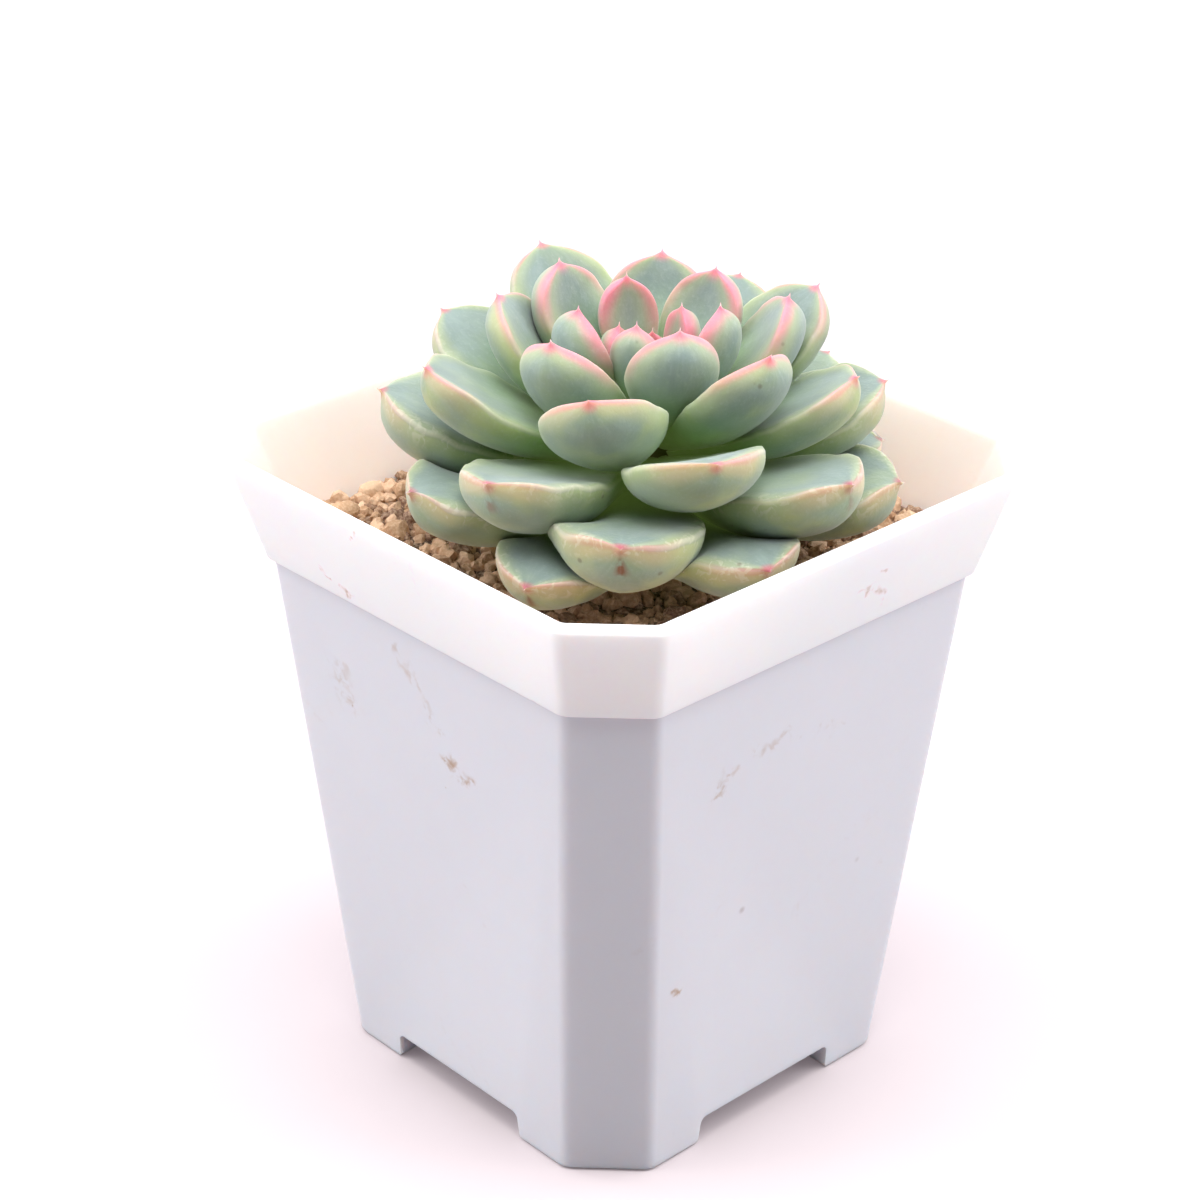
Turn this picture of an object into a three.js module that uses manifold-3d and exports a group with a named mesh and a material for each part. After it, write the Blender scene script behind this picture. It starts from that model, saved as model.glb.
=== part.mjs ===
// A potted succulent: an echeveria-like rosette in gritty soil, in a small square white nursery pot
// whose corners are cut off. Millimetres, +Z up, origin on the ground under the middle of the pot.
import * as THREE from "three";
import * as BufferGeometryUtils from "three/addons/utils/BufferGeometryUtils.js";
import Module from "manifold-3d";

const wasm = await Module();
wasm.setup();

// Driving dimensions of the fits.
const CLEARANCE = 0.3; // left between two pieces that touch

// Driving dimensions of the pot, all half-widths measured to its flat sides.
const POT_HEIGHT = 76.9;
const GROUND_HALF_WIDTH = 25.4;
const BAND_STEP_HALF_WIDTH = 31.1; // the tapered body, just under the rim band
const RIM_HALF_WIDTH = 35;
const BAND_HEIGHT = 12.3;
const BAND_STEP = 0.6; // how far the rim band stands out from the body
const WALL = 1.5;
const CORNER_CUT = 7; // taken off each side at a corner of the body
const RIM_CORNER_CUT = 7.8;
const EDGE_ROUND = 2; // the softened edges of the cut corners
const CHANNEL_HALF_WIDTH = 10.7; // the two channels that cross under the floor and leave four feet
const CHANNEL_HEIGHT = 3.8;
const DRAIN_RADIUS = 3;
const DRAIN_SPACING = 15;

// Driving dimensions of the soil and the grit on it.
const SOIL_DROP = 10.6; // below the rim
const SOIL_ROUGHNESS = 0.35;
const GRIT_RADIUS = 1.7;
const GRIT_FLATNESS = 0.78; // a lump's height over its width
const GRIT_SUNK = 0.5; // how far a lump's lower part sits below the soil's surface

// Driving dimensions of the plant, in its own frame: upright, from the soil's surface up.
const PLANT_OFFSET = new THREE.Vector2(2.7, 0.1);
const PLANT_LEAN = THREE.MathUtils.degToRad(3.4);
const STEM_RADIUS = 4.2;
const STEM_HEIGHT = 21;
const CROWN_RADIUS = 5.2; // the thick root crown in the soil
const CROWN_DEPTH = 9;
const LEAF_COUNT = 44;
const FIRST_LEAF_BEARING = 96.2; // degrees
const LEAF_TURN = -137.87; // degrees from each leaf to the next older one, close to the golden angle
const WIDEST_AT = 0.66; // share of the leaf's length
const BASE_NARROWING = 0.36; // width of the leaf's foot over its greatest width
const BASE_THINNING = 0.5;
const DISH = 0.1; // how far the margins lift above the upper face's middle, over the half-width
const POINT_LENGTH = 1.3; // the small sharp point that ends a leaf

// How the leaves change from the youngest, in the heart, to the oldest, at the bottom.
// reach and height place the tip, foot is where it leaves the stem, slopes are above the horizontal.
const HABIT = [
  { rank: 0, reach: 0.7, height: 22.7, foot: 20, width: 2, thickness: 1.2, footSlope: 86, tipSlope: 92 },
  { rank: 6, reach: 2, height: 26.3, foot: 18.8, width: 4.2, thickness: 2, footSlope: 78, tipSlope: 92 },
  { rank: 9, reach: 5.3, height: 29.1, foot: 18, width: 6, thickness: 2.8, footSlope: 70, tipSlope: 90 },
  { rank: 12, reach: 9.2, height: 30.3, foot: 17.2, width: 9.2, thickness: 3.6, footSlope: 58, tipSlope: 86 },
  { rank: 15, reach: 13, height: 30.8, foot: 16.2, width: 10.8, thickness: 4.1, footSlope: 46, tipSlope: 78 },
  { rank: 20, reach: 19, height: 29, foot: 14.6, width: 13.2, thickness: 4.1, footSlope: 30, tipSlope: 55 },
  { rank: 27, reach: 27, height: 22.5, foot: 12.2, width: 15.2, thickness: 4.8, footSlope: 14, tipSlope: 28 },
  { rank: 35, reach: 29.5, height: 14.8, foot: 9, width: 16.6, thickness: 6.4, footSlope: 5, tipSlope: 18 },
  { rank: 43, reach: 29.6, height: 8.5, foot: 6.2, width: 13.5, thickness: 5.2, footSlope: 4, tipSlope: -2 },
];

// Leaves that grew a little out of line: bearing and roll in degrees, reach and height in millimetres.
// A positive roll lifts the margin that is on the right of someone looking in at the leaf's tip.
const OUT_OF_LINE = {
  7: { reach: 0.5, height: -0.7 },
  8: { reach: -0.7, height: 0.8 },
  9: { bearing: 3, height: 0.3 },
  10: { bearing: 3, height: 0.8 },
  11: { height: 1.4 },
  12: { bearing: 4, roll: 10, reach: -0.7, height: -0.4 },
  13: { bearing: -6, reach: 0.4, height: 0.2 },
  14: { bearing: 5, reach: -0.3, height: 1 },
  16: { reach: 0.7, height: 0.3 },
  17: { roll: 11, height: -0.6 },
  18: { bearing: -3, height: -0.8 },
  19: { bearing: 2.5, height: 0.5 },
  20: { bearing: -2, reach: -1.6, height: -0.5 },
  21: { bearing: -7, reach: 0.8, height: 0.6 },
  22: { bearing: -5, roll: 18 },
  23: { bearing: 6, reach: 0.7, height: 1.8 },
  25: { bearing: -4, reach: 1.2, height: 0.3 },
  27: { bearing: -1.5, roll: 4, height: 0.9 },
  29: { bearing: -4, reach: -0.5, height: -0.7 },
  30: { roll: 8, reach: 0.7, height: -1.3 },
  32: { reach: 0.7, height: 0.8 },
  33: { reach: 0.9, height: 0.8 },
  37: { bearing: -4 },
  40: { bearing: 1, height: 0.5 },
  43: { bearing: 3, height: -0.5 },
};

const SOIL_LEVEL = POT_HEIGHT - SOIL_DROP;
const BAND_FOOT = POT_HEIGHT - BAND_HEIGHT;
const PLASTIC = { color: 0xf2eeee, roughness: 0.35, metalness: 0 };
const SOIL_MATERIAL = { color: 0x8a6a4c, roughness: 0.95, metalness: 0 };
const GRIT_MATERIAL = { color: 0xb48a62, roughness: 0.95, metalness: 0 };
const STEM_MATERIAL = { color: 0x8b7d5c, roughness: 0.8, metalness: 0 };
const HEART_COLOR = new THREE.Color(0xd99aa4);
const LEAF_COLOR = new THREE.Color(0xa3bfae);

// Solids: a closed skin over rings of points, and the step from a geometry to a solid and back.
function loft(rings) {
  const geometry = new THREE.BufferGeometry();
  const around = rings[0].length;
  const points = rings.flat();
  const first = points.length;
  points.push(middle(rings[0]), middle(rings[rings.length - 1]));
  const faces = [];
  for (let i = 0; i < around; i++) {
    const next = (i + 1) % around;
    faces.push(first, next, i);
    for (let ring = 0; ring + 1 < rings.length; ring++) {
      const low = ring * around;
      const high = low + around;
      faces.push(low + i, low + next, high + next);
      faces.push(low + i, high + next, high + i);
    }
    const last = (rings.length - 1) * around;
    faces.push(first + 1, last + i, last + next);
  }
  geometry.setFromPoints(points);
  geometry.setIndex(faces);
  return geometry;
}

function middle(ring) {
  const sum = ring.reduce((total, point) => total.add(point), new THREE.Vector3());
  return sum.divideScalar(ring.length);
}

function solid(geometry, matrix) {
  const bare = geometry.clone();
  bare.deleteAttribute("normal");
  bare.deleteAttribute("uv");
  if (matrix) bare.applyMatrix4(matrix);
  const merged = BufferGeometryUtils.mergeVertices(bare, 1e-4);
  const mesh = new wasm.Mesh({
    numProp: 3,
    vertProperties: new Float32Array(merged.attributes.position.array),
    triVerts: new Uint32Array(merged.index.array),
  });
  return new wasm.Manifold(mesh);
}

function geometryOf(manifold) {
  const mesh = manifold.getMesh();
  const geometry = new THREE.BufferGeometry();
  geometry.setAttribute("position", new THREE.BufferAttribute(mesh.vertProperties, 3));
  geometry.setIndex(new THREE.BufferAttribute(mesh.triVerts, 1));
  geometry.computeVertexNormals();
  return geometry;
}

function largest(manifold) {
  const pieces = manifold.decompose();
  return pieces.reduce((best, piece) => (piece.volume() > best.volume() ? piece : best));
}

function piece(name, geometry, look) {
  const mesh = new THREE.Mesh(geometry, new THREE.MeshStandardMaterial(look));
  mesh.name = name;
  return mesh;
}

// The pot's outline at one height: a square whose four corners are cut off and whose edges are soft.
function cutSquare(half, cut, z) {
  const corners = [];
  for (let quarter = 0; quarter < 4; quarter++) {
    const turn = (quarter * Math.PI) / 2;
    const pair = [new THREE.Vector2(half, half - cut), new THREE.Vector2(half - cut, half)];
    pair.forEach((corner) => corners.push(corner.rotateAround(new THREE.Vector2(), turn)));
  }
  const tangent = EDGE_ROUND * Math.tan(Math.PI / 8);
  const bulge = EDGE_ROUND * (1 / Math.cos(Math.PI / 8) - 1);
  const ring = [];
  corners.forEach((corner, i) => {
    const back = corners[(i + 7) % 8].clone().sub(corner).normalize();
    const ahead = corners[(i + 1) % 8].clone().sub(corner).normalize();
    const inward = back.clone().add(ahead).normalize();
    const spots = [
      corner.clone().addScaledVector(back, tangent),
      corner.clone().addScaledVector(inward, bulge),
      corner.clone().addScaledVector(ahead, tangent),
    ];
    spots.forEach((spot) => ring.push(new THREE.Vector3(spot.x, spot.y, z)));
  });
  return ring;
}

// The pot's inside, at any height: half-width and corner cut, which follow the outside and the wall.
function insideHalfWidth(z) {
  const taper = (BAND_STEP_HALF_WIDTH - GROUND_HALF_WIDTH) / BAND_FOOT;
  const flare = (RIM_HALF_WIDTH - BAND_STEP_HALF_WIDTH) / BAND_HEIGHT;
  const outside =
    z < BAND_FOOT ? GROUND_HALF_WIDTH + taper * z : BAND_STEP_HALF_WIDTH + flare * (z - BAND_FOOT);
  return outside - WALL;
}

function insideCut(z) {
  const share = Math.max(0, (z - BAND_FOOT) / BAND_HEIGHT);
  return THREE.MathUtils.lerp(CORNER_CUT, RIM_CORNER_CUT, share) - WALL * (2 - Math.SQRT2);
}

// A bar under the floor, along X and along Y: the channels that divide the pot's base into four feet.
function channels(grow) {
  const half = CHANNEL_HALF_WIDTH + grow;
  const height = CHANNEL_HEIGHT + grow;
  const length = 4 * RIM_HALF_WIDTH;
  const along = new THREE.BoxGeometry(length, 2 * half, 2 * height);
  const across = new THREE.BoxGeometry(2 * half, length, 2 * height);
  return solid(along).add(solid(across));
}

function pot() {
  const bodyCut = CORNER_CUT;
  const outside = loft([
    cutSquare(GROUND_HALF_WIDTH, bodyCut, 0),
    cutSquare(BAND_STEP_HALF_WIDTH, bodyCut, BAND_FOOT),
    cutSquare(BAND_STEP_HALF_WIDTH + BAND_STEP, bodyCut + BAND_STEP, BAND_FOOT + 0.01),
    cutSquare(RIM_HALF_WIDTH, RIM_CORNER_CUT, POT_HEIGHT),
  ]);
  const rise = 1;
  const top = POT_HEIGHT + rise;
  const inside = loft([
    cutSquare(insideHalfWidth(WALL), insideCut(WALL), WALL),
    cutSquare(insideHalfWidth(BAND_FOOT), insideCut(BAND_FOOT), BAND_FOOT),
    cutSquare(insideHalfWidth(top), insideCut(top), top),
  ]);
  const hollow = solid(inside).subtract(channels(WALL));
  let shell = solid(outside).subtract(hollow).subtract(channels(0));
  const drains = [[0, 0], [1, 0], [-1, 0], [0, 1], [0, -1]];
  for (const [x, y] of drains) {
    const drain = new THREE.CylinderGeometry(DRAIN_RADIUS, DRAIN_RADIUS, 4 * CHANNEL_HEIGHT, 16);
    drain.rotateX(Math.PI / 2);
    drain.translate(x * DRAIN_SPACING, y * DRAIN_SPACING, CHANNEL_HEIGHT);
    shell = shell.subtract(solid(drain));
  }
  return shell;
}

// The soil's surface: gentle hollows, with the roughness of its grains.
function soilHeight(x, y) {
  const swell = 0.5 * Math.sin(0.16 * x + 1.1) * Math.cos(0.13 * y - 0.4);
  const grains = Math.sin(1.9 * x + 0.7 * y) * Math.sin(1.7 * y - 0.9 * x);
  return SOIL_LEVEL + swell + SOIL_ROUGHNESS * grains;
}

function soil(cutters) {
  const edge = SOIL_LEVEL - 1;
  const sides = [WALL + CLEARANCE, BAND_FOOT, edge];
  const rings = sides.map((z) => cutSquare(insideHalfWidth(z) - CLEARANCE, insideCut(z), z));
  const outline = rings[rings.length - 1];
  for (const share of [0.95, 0.82, 0.66, 0.48, 0.26]) {
    rings.push(outline.map(({ x, y }) => {
      return new THREE.Vector3(x * share, y * share, soilHeight(x * share, y * share));
    }));
  }
  let body = solid(loft(rings)).subtract(channels(WALL + CLEARANCE));
  cutters.forEach((cutter) => {
    body = body.subtract(cutter);
  });
  return largest(body);
}

// Lumps of grit that lie loose on the soil, each an uneven pebble of its own size, near the pot's wall.
// A lump's place is its bearing from the pot's middle and how far its middle lies in from the wall.
const GRIT_SPOTS = [
  { bearing: -46.6, inset: 3.6, size: 1.1 },
  { bearing: -53.4, inset: 3.2, size: 0.85 },
  { bearing: -38.8, inset: 3, size: 0.9 },
  { bearing: -60.9, inset: 2.8, size: 0.8 },
  { bearing: -113.6, inset: 3, size: 1 },
  { bearing: -125.1, inset: 3.8, size: 0.9 },
  { bearing: -137.3, inset: 4.2, size: 1.05 },
  { bearing: -151.6, inset: 2.8, size: 0.85 },
  { bearing: 23.3, inset: 2.8, size: 0.8 },
  { bearing: 39.6, inset: 3.8, size: 1 },
  { bearing: 133.8, inset: 4, size: 1 },
  { bearing: 81.8, inset: 2.8, size: 0.9 },
];

function gritPlace(spot) {
  const aim = THREE.MathUtils.degToRad(spot.bearing);
  const across = Math.abs(Math.cos(aim));
  const along = Math.abs(Math.sin(aim));
  const half = insideHalfWidth(SOIL_LEVEL - 1) - spot.inset;
  const cut = insideCut(SOIL_LEVEL - 1);
  const reach = Math.min(half / across, half / along, (2 * half - cut) / (across + along));
  return new THREE.Vector2(reach * Math.cos(aim), reach * Math.sin(aim));
}

function gritGeometry(spot, index, grow) {
  const radius = GRIT_RADIUS * spot.size;
  const lump = new THREE.IcosahedronGeometry(radius + grow, 1);
  const stretch = 1 + 0.25 * Math.sin(2.4 * index);
  lump.scale(stretch, 1 / stretch, GRIT_FLATNESS);
  lump.rotateZ(1.3 * index);
  const { x, y } = gritPlace(spot);
  lump.translate(x, y, soilHeight(x, y) + GRIT_FLATNESS * radius - GRIT_SUNK);
  return lump;
}

// The stem, in the plant's own frame: a root crown in the soil, then a cone that ends under the heart.
function stemRadius(z) {
  const share = THREE.MathUtils.clamp(z / STEM_HEIGHT, 0, 1);
  return STEM_RADIUS * Math.sqrt(1 - 0.97 * share * share);
}

function stemGeometry(grow) {
  const profile = [new THREE.Vector2(0, -CROWN_DEPTH - grow)];
  profile.push(new THREE.Vector2(0.45 * CROWN_RADIUS + grow, -CROWN_DEPTH - grow));
  profile.push(new THREE.Vector2(CROWN_RADIUS + grow, -0.55 * CROWN_DEPTH));
  const steps = 5;
  for (let step = 0; step <= steps; step++) {
    const z = (STEM_HEIGHT * step) / steps;
    profile.push(new THREE.Vector2(stemRadius(z) + grow, z + (step === steps ? grow : 0)));
  }
  profile.push(new THREE.Vector2(0, STEM_HEIGHT + grow));
  const stem = new THREE.LatheGeometry(profile, 12);
  stem.rotateX(Math.PI / 2);
  return stem;
}

// One leaf's own sizes, between the two stations that its rank lies between.
function habitOf(rank) {
  const above = HABIT.findIndex((station) => station.rank >= rank);
  const older = HABIT[Math.max(above, 1)];
  const younger = HABIT[Math.max(above, 1) - 1];
  const share = (rank - younger.rank) / (older.rank - younger.rank);
  const own = {};
  for (const key of Object.keys(older)) {
    own[key] = THREE.MathUtils.lerp(younger[key], older[key], share);
  }
  const nudge = { bearing: 0, roll: 0, reach: 0, height: 0, ...OUT_OF_LINE[rank] };
  own.bearing = FIRST_LEAF_BEARING + LEAF_TURN * rank + nudge.bearing;
  own.roll = nudge.roll;
  own.reach += nudge.reach;
  own.height += nudge.height;
  return own;
}

// The line up the middle of a leaf's upper face, in the upright plane through the stem.
function midrib(own) {
  const aim = (slope) => {
    const angle = THREE.MathUtils.degToRad(slope);
    return new THREE.Vector2(Math.cos(angle), Math.sin(angle));
  };
  const foot = new THREE.Vector2(Math.max(0.4, stemRadius(own.foot) - 0.4), own.foot);
  const tip = new THREE.Vector2(own.reach, own.height).addScaledVector(aim(own.tipSlope), -POINT_LENGTH);
  const pull = 0.36 * foot.distanceTo(tip);
  const leave = foot.clone().addScaledVector(aim(own.footSlope), pull);
  const arrive = tip.clone().addScaledVector(aim(own.tipSlope), -pull);
  return new THREE.CubicBezierCurve(foot, leave, arrive, tip);
}

// Width and thickness along the leaf: a narrow foot, a broad shoulder and a round end.
function leafStations(own) {
  const stations = [];
  const steps = 4;
  for (let step = 0; step < steps; step++) {
    const x = step / steps;
    const swell = x * x * (3 - 2 * x);
    stations.push({
      along: WIDEST_AT * x,
      half: (own.width / 2) * THREE.MathUtils.lerp(BASE_NARROWING, 1, swell),
      deep: own.thickness * THREE.MathUtils.lerp(BASE_THINNING, 1, Math.sin((x * Math.PI) / 2)),
    });
  }
  for (const degrees of [0, 35, 62, 81]) {
    const turn = THREE.MathUtils.degToRad(degrees);
    stations.push({
      along: WIDEST_AT + (1 - WIDEST_AT) * Math.sin(turn),
      half: (own.width / 2) * Math.cos(turn) ** 0.8,
      deep: own.thickness * Math.cos(turn) ** 0.55,
    });
  }
  return stations;
}

// A leaf, in the plant's own frame: a nearly flat, slightly dished upper face over a round back.
function leafGeometry(rank, grow) {
  const own = habitOf(rank);
  const rib = midrib(own);
  const bearing = THREE.MathUtils.degToRad(own.bearing);
  const roll = THREE.MathUtils.degToRad(own.roll);
  const place = (out, side, up) => {
    const x = out * Math.cos(bearing) - side * Math.sin(bearing);
    const y = out * Math.sin(bearing) + side * Math.cos(bearing);
    return new THREE.Vector3(x, y, up);
  };
  const faceAngles = [0, 1, 2, 3].map((third) => (third * Math.PI) / 3);
  const backAngles = [1, 2, 3, 4].map((fifth) => Math.PI + (fifth * Math.PI) / 5);
  const angles = [...faceAngles, ...backAngles];
  const rings = leafStations(own).map((station, index) => {
    const centre = rib.getPoint(station.along);
    const ahead = rib.getTangent(station.along);
    const upward = new THREE.Vector2(-ahead.y, ahead.x);
    if (index === 0) centre.addScaledVector(ahead, -grow);
    const half = station.half + grow;
    const deep = station.deep + 2 * grow;
    return angles.map((angle) => {
      const side = half * Math.cos(angle);
      const lift = DISH * half * Math.cos(angle) ** 2;
      const depth = Math.sin(angle) < 0 ? 0.95 * deep : 0.1 * deep;
      const offset = lift + depth * Math.sin(angle) + grow;
      const raised = offset * Math.cos(roll) + side * Math.sin(roll);
      const shifted = side * Math.cos(roll) - offset * Math.sin(roll);
      return place(centre.x + upward.x * raised, shifted, centre.y + upward.y * raised);
    });
  });
  const tip = new THREE.Vector2(own.reach, own.height).addScaledVector(rib.getTangent(1), grow);
  const geometry = loft(rings);
  const apex = geometry.attributes.position.count - 1;
  const { x, y, z } = place(tip.x, 0, tip.y);
  geometry.attributes.position.setXYZ(apex, x, y, z);
  return geometry;
}

// The plant stands a little off the pot's middle and leans.
const plant = new THREE.Group();
plant.position.set(PLANT_OFFSET.x, PLANT_OFFSET.y, SOIL_LEVEL);
plant.rotation.y = PLANT_LEAN;
plant.updateMatrix();
const potInPlantFrame = plant.matrix.clone().invert();

// Each leaf gives way to the stem, to the rim and to the younger leaves that press on it from above.
const ranks = Array.from({ length: LEAF_COUNT }, (_, rank) => rank);
const pressing = ranks.map((rank) => solid(leafGeometry(rank, CLEARANCE)));
const stemPressing = solid(stemGeometry(CLEARANCE));
const potShell = pot();
const potPressing = solid(geometryOf(potShell), potInPlantFrame);
const leaves = ranks.map((rank) => {
  let leaf = solid(leafGeometry(rank, 0)).subtract(stemPressing).subtract(potPressing);
  for (let younger = 0; younger < rank; younger++) {
    leaf = leaf.subtract(pressing[younger]);
  }
  return largest(leaf);
});

const scene = new THREE.Group();
const cutters = [solid(stemGeometry(CLEARANCE), plant.matrix)];
ranks.forEach((rank) => cutters.push(solid(leafGeometry(rank, CLEARANCE), plant.matrix)));
GRIT_SPOTS.forEach((spot, index) => cutters.push(solid(gritGeometry(spot, index, CLEARANCE))));

scene.add(piece("pot", geometryOf(potShell), PLASTIC));
scene.add(piece("soil", geometryOf(soil(cutters)), SOIL_MATERIAL));
GRIT_SPOTS.forEach((spot, index) => {
  const name = `grit_${String(index + 1).padStart(2, "0")}`;
  scene.add(piece(name, gritGeometry(spot, index, 0), GRIT_MATERIAL));
});

plant.add(piece("stem", stemGeometry(0), STEM_MATERIAL));
leaves.forEach((leaf, rank) => {
  const color = HEART_COLOR.clone().lerp(LEAF_COLOR, Math.min(1, rank / 20));
  const name = `leaf_${String(rank).padStart(2, "0")}`;
  plant.add(piece(name, geometryOf(leaf), { color, roughness: 0.6, metalness: 0 }));
});
scene.add(plant);

export default scene;
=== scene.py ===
import bpy
import bmesh
import math
import random
from mathutils import Matrix, Vector, noise
from mathutils.bvhtree import BVHTree


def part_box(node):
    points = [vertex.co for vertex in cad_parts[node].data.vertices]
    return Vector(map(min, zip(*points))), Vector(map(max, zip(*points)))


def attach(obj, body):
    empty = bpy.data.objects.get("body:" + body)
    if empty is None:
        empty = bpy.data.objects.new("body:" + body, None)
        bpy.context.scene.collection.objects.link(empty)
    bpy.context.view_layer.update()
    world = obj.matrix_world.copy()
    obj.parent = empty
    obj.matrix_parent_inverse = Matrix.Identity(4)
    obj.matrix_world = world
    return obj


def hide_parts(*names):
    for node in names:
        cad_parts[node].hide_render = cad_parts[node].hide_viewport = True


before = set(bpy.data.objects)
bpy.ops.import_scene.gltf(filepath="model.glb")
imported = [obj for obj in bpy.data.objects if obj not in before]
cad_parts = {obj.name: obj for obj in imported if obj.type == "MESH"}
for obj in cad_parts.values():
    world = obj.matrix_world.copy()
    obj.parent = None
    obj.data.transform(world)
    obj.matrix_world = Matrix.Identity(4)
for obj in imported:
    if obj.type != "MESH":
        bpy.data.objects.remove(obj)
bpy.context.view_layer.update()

# ---------------------------------------------------------------------------------------------
# Studio: a white sweep under a large soft light. The room behind the viewer is dim, so the side
# of the pot that faces the viewer is the darkest, and the light comes from above and both sides.
# ---------------------------------------------------------------------------------------------
MM = 0.001
CAMERA_TURN = math.radians(46.7)
CAMERA_RISE = math.radians(27.26)
CAMERA_ROLL = math.radians(0.504)
CAMERA_REACH = 339.59 * MM
CAMERA_LENS = 88.55
AIM_ABOVE_GROUND = 57.7 * MM
AIM_SIDEWAYS = Vector((-1.59, -1.69, 0)) * MM
FLOOR_REACH = 3.0
PAPER_TONES = {  # what the paper sends on to the pot, and what the viewer sees of it
    "Base Color": ((0.3, 0.278, 0.287, 1), (0.53, 0.475, 0.485, 1)),
    "Emission Color": ((0, 0, 0, 1), (0.12, 0.1, 0.11, 1)),
}
WALL_LIGHT = [  # from behind the pot round to the viewer's back: place along the way, glow
    (0.0, 1.1), (0.25, 1.3), (0.38, 3.9), (0.6, 4.9), (0.67, 0.9), (0.76, 0.03), (1.0, 0.02),
]
CEILING_LIGHT = 2.2
CEILING_STARTS = 0.62
CEILING_FULL = 0.9
BACKDROP_LIGHT = 1.02
ROOM_COLOR = (0.97, 0.98, 1.0, 1)
PANEL_COLOR = (1, 0.985, 0.96)
PANEL_WIDTH = 0.5
PANEL_POWER = 4.0
PANEL_FORWARD = 0.21
PANEL_HEIGHT = 0.84
PANEL_AIM = Vector((0, 0, 0.07))


def feed(value, socket):
    """Sets a socket, or links it to another node's socket; None leaves it alone."""
    if isinstance(value, bpy.types.NodeSocket):
        socket.id_data.links.new(value, socket)
    elif value is not None:
        socket.default_value = value


def put(nodes, kind, *feeds, **values):
    """A node with its properties and inputs set by name; the feeds go to its inputs in order."""
    node = nodes.new(kind)
    for name, value in values.items():
        if hasattr(node, name):
            setattr(node, name, value)
        else:
            feed(value, node.inputs[name.replace("_", " ")])
    for value, socket in zip(feeds, node.inputs):
        feed(value, socket)
    return node


turned = Vector((math.sin(CAMERA_TURN), -math.cos(CAMERA_TURN), 0))
backward = turned * math.cos(CAMERA_RISE) + Vector((0, 0, math.sin(CAMERA_RISE)))
level_right = Vector((math.cos(CAMERA_TURN), math.sin(CAMERA_TURN), 0))
level_up = backward.cross(level_right)
right = level_right * math.cos(CAMERA_ROLL) + level_up * math.sin(CAMERA_ROLL)
up = level_up * math.cos(CAMERA_ROLL) - level_right * math.sin(CAMERA_ROLL)
aim = AIM_SIDEWAYS + Vector((0, 0, AIM_ABOVE_GROUND))
eye = aim + backward * CAMERA_REACH
camera = bpy.data.objects.new("camera", bpy.data.cameras.new("camera"))
camera.data.lens = CAMERA_LENS
camera.data.sensor_width = 36
camera.data.clip_start = 0.01
camera.data.clip_end = 20
camera.matrix_world = Matrix((
    (right.x, up.x, backward.x, eye.x),
    (right.y, up.y, backward.y, eye.y),
    (right.z, up.z, backward.z, eye.z),
    (0, 0, 0, 1),
))
bpy.context.scene.collection.objects.link(camera)
bpy.context.scene.camera = camera
bpy.context.scene.view_settings.view_transform = "Standard"

floor_mesh = bpy.data.meshes.new("floor")
corners = [(FLOOR_REACH * x, FLOOR_REACH * y, 0) for x, y in ((-1, -1), (1, -1), (1, 1), (-1, 1))]
floor_mesh.from_pydata(corners, [], [(0, 1, 2, 3)])
floor = bpy.data.objects.new("floor", floor_mesh)
bpy.context.scene.collection.objects.link(floor)
paper = bpy.data.materials.new("white_paper")
paper.use_nodes = True
paper_nodes = paper.node_tree.nodes
paper_skin = paper_nodes["Principled BSDF"]
paper_skin.inputs["Roughness"].default_value = 0.9
paper_skin.inputs["Specular IOR Level"].default_value = 0.1
paper_skin.inputs["Emission Strength"].default_value = 1
paper_ray = put(paper_nodes, "ShaderNodeLightPath")
for label, (sent_on, seen_tone) in PAPER_TONES.items():
    choice = put(paper_nodes, "ShaderNodeMix", paper_ray.outputs["Is Camera Ray"], data_type="RGBA")
    choice.inputs[6].default_value = sent_on
    choice.inputs[7].default_value = seen_tone
    feed(choice.outputs[2], paper_skin.inputs[label])
floor_mesh.materials.append(paper)

studio = bpy.data.worlds.new("studio")
bpy.context.scene.world = studio
studio.use_nodes = True
sky = studio.node_tree.nodes
sky.clear()
way = put(sky, "ShaderNodeTexCoord").outputs["Generated"]
upward = put(sky, "ShaderNodeSeparateXYZ", way).outputs["Z"]
toward_viewer = put(sky, "ShaderNodeVectorMath", way, turned, operation="DOT_PRODUCT")
round_about = put(sky, "ShaderNodeMapRange", toward_viewer.outputs["Value"], -1)
walls = put(sky, "ShaderNodeValToRGB", round_about.outputs["Result"])
while len(walls.color_ramp.elements) < len(WALL_LIGHT):
    walls.color_ramp.elements.new(0.5)
for stop, (place, glow) in zip(walls.color_ramp.elements, WALL_LIGHT):
    stop.position = place
    stop.color = (glow, glow, glow, 1)
ceiling = put(sky, "ShaderNodeMapRange", upward, CEILING_STARTS, CEILING_FULL)
ceiling.interpolation_type = "SMOOTHSTEP"
level = put(sky, "ShaderNodeMix", ceiling.outputs["Result"], None, walls.outputs[0], CEILING_LIGHT)
soft_light = put(sky, "ShaderNodeBackground", ROOM_COLOR, level.outputs[0])
backdrop = put(sky, "ShaderNodeBackground", (1, 1, 1, 1), BACKDROP_LIGHT)
seen = put(sky, "ShaderNodeLightPath").outputs["Is Camera Ray"]
choose = put(sky, "ShaderNodeMixShader", seen, soft_light.outputs[0], backdrop.outputs[0])
put(sky, "ShaderNodeOutputWorld", choose.outputs[0])

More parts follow.
